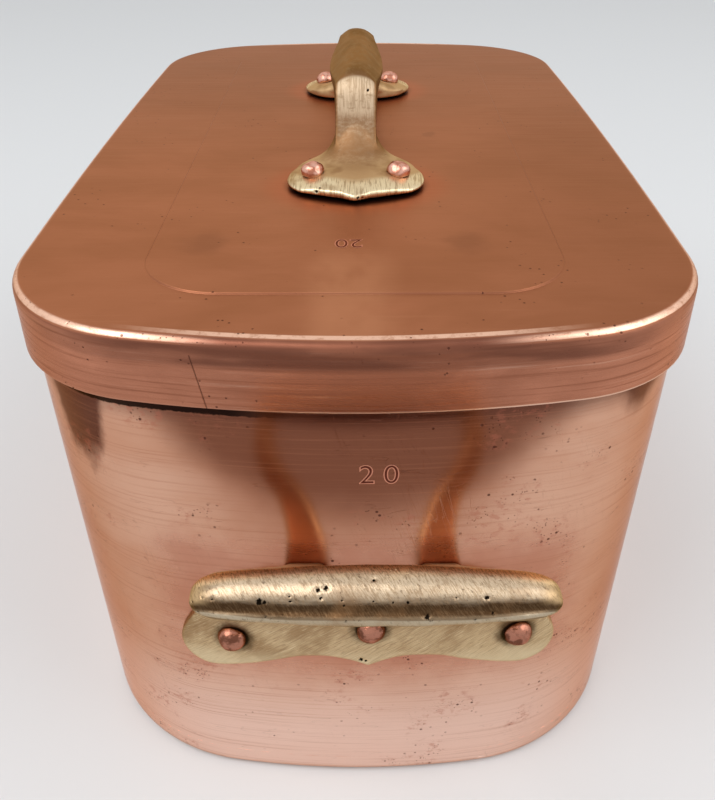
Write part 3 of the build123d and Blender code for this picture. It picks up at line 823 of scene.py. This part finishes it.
def rivetPiece(node, body, seed, look):
    words = node.split("_")
    name = words[0] + "".join(word.capitalize() for word in words[1:])
    piece = meltedCopy(node, name, rivets["grain"], rivets["smoothing"])
    roughen(piece, rivets["blows"], rivets["blowSize"], seed)
    standFor(piece, node, body, look)


for index, place in enumerate(("left", "middle", "right")):
    rivetPiece("front_rivet_" + place, "pan", 11 + index, endRivetLook)
    rivetPiece("rear_rivet_" + place, "pan", 21 + index, endRivetLook)
for index, place in enumerate(("front_left", "front_right", "rear_left", "rear_right")):
    rivetPiece("lid_rivet_" + place, "lid", 31 + index, lidRivetLook)
print("rivets made")


# plain size numbers punched by hand, the pan's width in centimetres: a dark dent, painted as shade, in a
# bright burr;
# each layer has its name, how far its strokes swell, how proud it lies, and its colour
numbers = {
    "text": "20",
    "wall": {"at": (6.8, 136.0), "size": 9.0, "spacing": 1.5},
    "lid": {"at": (-1.8, -111.6), "size": 8.5, "spacing": 1.05},
    "layers": (("Burr", 0.20, 0.03, tint(206, 138, 112)), ("Dent", -0.12, 0.06, tint(98, 48, 36))),
    "edgeTint": tint(235, 205, 190),
    "roughness": 0.35,
}


# flat mesh of the number, its strokes thickened by the swell, in millimetres
def numberPoints(size, spacing, swell):
    curve = bpy.data.curves.new("number", "FONT")
    curve.body = numbers["text"]
    curve.size = size
    curve.space_character = spacing
    curve.offset = swell
    curve.align_x = "CENTER"
    curve.align_y = "CENTER"
    holder = bpy.data.objects.new("number", curve)
    bpy.context.scene.collection.objects.link(holder)
    depsgraph = bpy.context.evaluated_depsgraph_get()
    mesh = bpy.data.meshes.new_from_object(holder.evaluated_get(depsgraph))
    bpy.data.objects.remove(holder)
    return mesh, readPoints(mesh, "co")


# bent onto the front end of the wall
def onWall(points, at, proud):
    across = at[0] + points[:, 0]
    arc = places["lidArc"] - places["wallInset"] + proud
    out = places["endArcBehind"] - np.sqrt(arc ** 2 - across ** 2)
    return np.column_stack((across, out, at[1] + points[:, 1]))


# flat on the lid, upside down for someone in front
def onLid(points, at, proud):
    face = np.full(len(points), places["lidFace"] + proud)
    return np.column_stack((at[0] - points[:, 0], at[1] - points[:, 1], face))


def punch(name, kind, lay, body):
    setting = numbers[kind]
    for layer, swell, proud, colour in numbers["layers"]:
        mesh, points = numberPoints(setting["size"], setting["spacing"], swell)
        writePoints(mesh, lay(points, setting["at"], proud) * mm)
        piece = bpy.data.objects.new(name + layer, mesh)
        bpy.context.scene.collection.objects.link(piece)
        skin = Surface(name + layer, colour)
        mesh.materials.clear()
        mesh.materials.append(skin.finish(numbers["roughness"], numbers["edgeTint"]))
        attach(piece, body)


punch("wallNumber", "wall", onWall, "pan")
punch("lidNumber", "lid", onLid, "lid")
print("numbers punched")


# stage: pale floor, white surroundings, soft lamps and the camera
stage = {
    "floorHalf": 6.0,
    "floorColour": tint(226, 228, 230),
    "floorRoughness": 0.75,
    "worldForLight": 0.62,
}
floorMesh = bpy.data.meshes.new("floor")
half = stage["floorHalf"]
floorCorners = [(-half, -half, 0), (half, -half, 0), (half, half, 0), (-half, half, 0)]
floorMesh.from_pydata(floorCorners, [], [(0, 1, 2, 3)])
floor = bpy.data.objects.new("floor", floorMesh)
bpy.context.scene.collection.objects.link(floor)
floorLook = bpy.data.materials.new("pale floor")
floorLook.use_nodes = True
floorShader = floorLook.node_tree.nodes["Principled BSDF"]
floorShader.inputs["Base Color"].default_value = stage["floorColour"]
floorShader.inputs["Roughness"].default_value = stage["floorRoughness"]
floorMesh.materials.append(floorLook)

# white to the camera and in reflections, dimmer as a light
world = bpy.data.worlds.new("studio")
bpy.context.scene.world = world
world.use_nodes = True
worldNodes = world.node_tree.nodes
worldLinks = world.node_tree.links
background = worldNodes["Background"]
background.inputs["Color"].default_value = (1, 1, 1, 1)
rays = worldNodes.new("ShaderNodeLightPath")
seen = rays.outputs["Is Camera Ray"]
for kind in ("Is Glossy Ray", "Is Transmission Ray"):
    either = worldNodes.new("ShaderNodeMath")
    either.operation = "MAXIMUM"
    worldLinks.new(seen, either.inputs[0])
    worldLinks.new(rays.outputs[kind], either.inputs[1])
    seen = either.outputs[0]
strength = worldNodes.new("ShaderNodeMapRange")
strength.inputs["To Min"].default_value = stage["worldForLight"]
worldLinks.new(seen, strength.inputs["Value"])
worldLinks.new(strength.outputs[0], background.inputs["Strength"])

# soft lamps that face the pan
lamps = {
    "key": {"at": (-0.9, -0.7, 1.6), "size": 1.2, "power": 14},
    "fill": {"at": (1.3, -0.5, 1.3), "size": 1.4, "power": 11},
}
for lampName, setting in lamps.items():
    light = bpy.data.lights.new(lampName, "AREA")
    light.size = setting["size"]
    light.energy = setting["power"]
    lamp = bpy.data.objects.new(lampName, light)
    lamp.location = setting["at"]
    lamp.rotation_euler = (Vector((0, 0, 0.1)) - lamp.location).to_track_quat("-Z", "Y").to_euler()
    bpy.context.scene.collection.objects.link(lamp)

# the camera as fitted to the photograph: angles in degrees, lens in millimetres
camera = {
    "at": (2.33 * mm, -359.44 * mm, 287.31 * mm),
    "pitchDown": 33.69,
    "yaw": -0.41,
    "roll": -0.30,
    "lens": 39.57,
}
cameraData = bpy.data.cameras.new("camera")
cameraData.sensor_fit = "VERTICAL"
cameraData.sensor_height = 36
cameraData.lens = camera["lens"]
cameraData.clip_start = 0.01
cameraObject = bpy.data.objects.new("camera", cameraData)
turnYaw = Matrix.Rotation(math.radians(-camera["yaw"]), 4, "Z")
turnPitch = Matrix.Rotation(math.radians(90 - camera["pitchDown"]), 4, "X")
turnRoll = Matrix.Rotation(math.radians(camera["roll"]), 4, "Z")
cameraObject.matrix_world = Matrix.Translation(camera["at"]) @ turnYaw @ turnPitch @ turnRoll
bpy.context.scene.collection.objects.link(cameraObject)
bpy.context.scene.camera = cameraObject
bpy.context.scene.view_settings.view_transform = "Standard"
print("stage, lamps and camera set")
